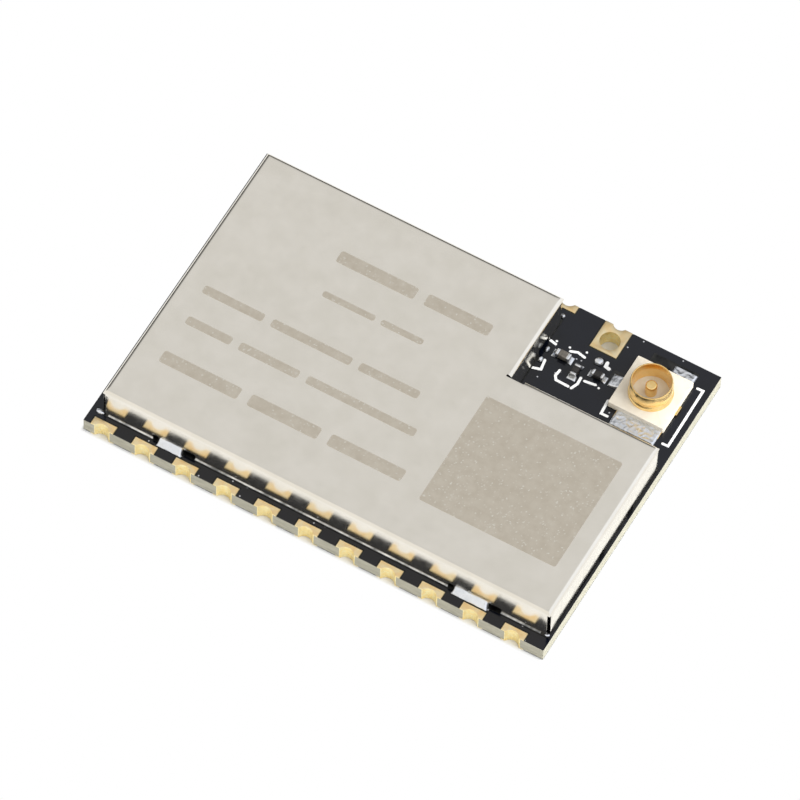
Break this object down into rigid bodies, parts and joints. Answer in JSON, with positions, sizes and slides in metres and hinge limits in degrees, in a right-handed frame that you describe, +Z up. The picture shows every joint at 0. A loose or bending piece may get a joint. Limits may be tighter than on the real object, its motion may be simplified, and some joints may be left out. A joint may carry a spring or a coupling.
{
  "type": "radio module",
  "caption": "Surface-mount radio module with castellated edge pads, a folded metal shield can with a notched corner and a micro coaxial antenna socket in the notch.",
  "frame": {"origin": "middle of the board on the plane of the underside lands", "axes": "+X along the long row of edge pads towards the socket's end, +Y from the long pad row towards the short one, +Z up from the underside to the shield can's top"},
  "size_m": [0.0224, 0.0156, 0.0026],
  "materials": {
    "fibreglass": "matte sawn edge",
    "solder_mask": "glossy",
    "gold_plating": "bright",
    "tinned_copper": "bright",
    "shield_sheet": "satin",
    "solder": "satin",
    "chip_moulding": "matte",
    "ceramic": "matte",
    "ferrite": "matte",
    "ivory_plastic": "satin"
  },
  "bodies": {
    "root": {"board_core": "fibreglass", "top_solder_mask": "solder_mask", "bottom_solder_mask": "solder_mask", "front_edge_pads": "gold_plating", "back_edge_pads": "gold_plating", "antenna_land": "gold_plating", "shield_ground_ring": "tinned_copper", "component_lands": "tinned_copper", "shield_can": "shield_sheet", "shield_solder": "solder", "radio_chip_body": "chip_moulding", "radio_chip_leads": "tinned_copper", "crystal_base": "ceramic", "crystal_lid": "shield_sheet", "antenna_switch_body": "chip_moulding", "antenna_switch_leads": "tinned_copper", "inner_capacitors": "ceramic", "inner_coils": "ferrite", "inner_resistors": "chip_moulding", "inner_part_ends": "tinned_copper", "notch_inductor": "ferrite", "notch_capacitors": "chip_moulding", "notch_part_ends": "tinned_copper", "notch_solder": "solder", "socket_insulator": "ivory_plastic", "socket_ground_shell": "gold_plating", "socket_centre_contact": "gold_plating", "socket_solder": "solder"}
  },
  "joints": []
}
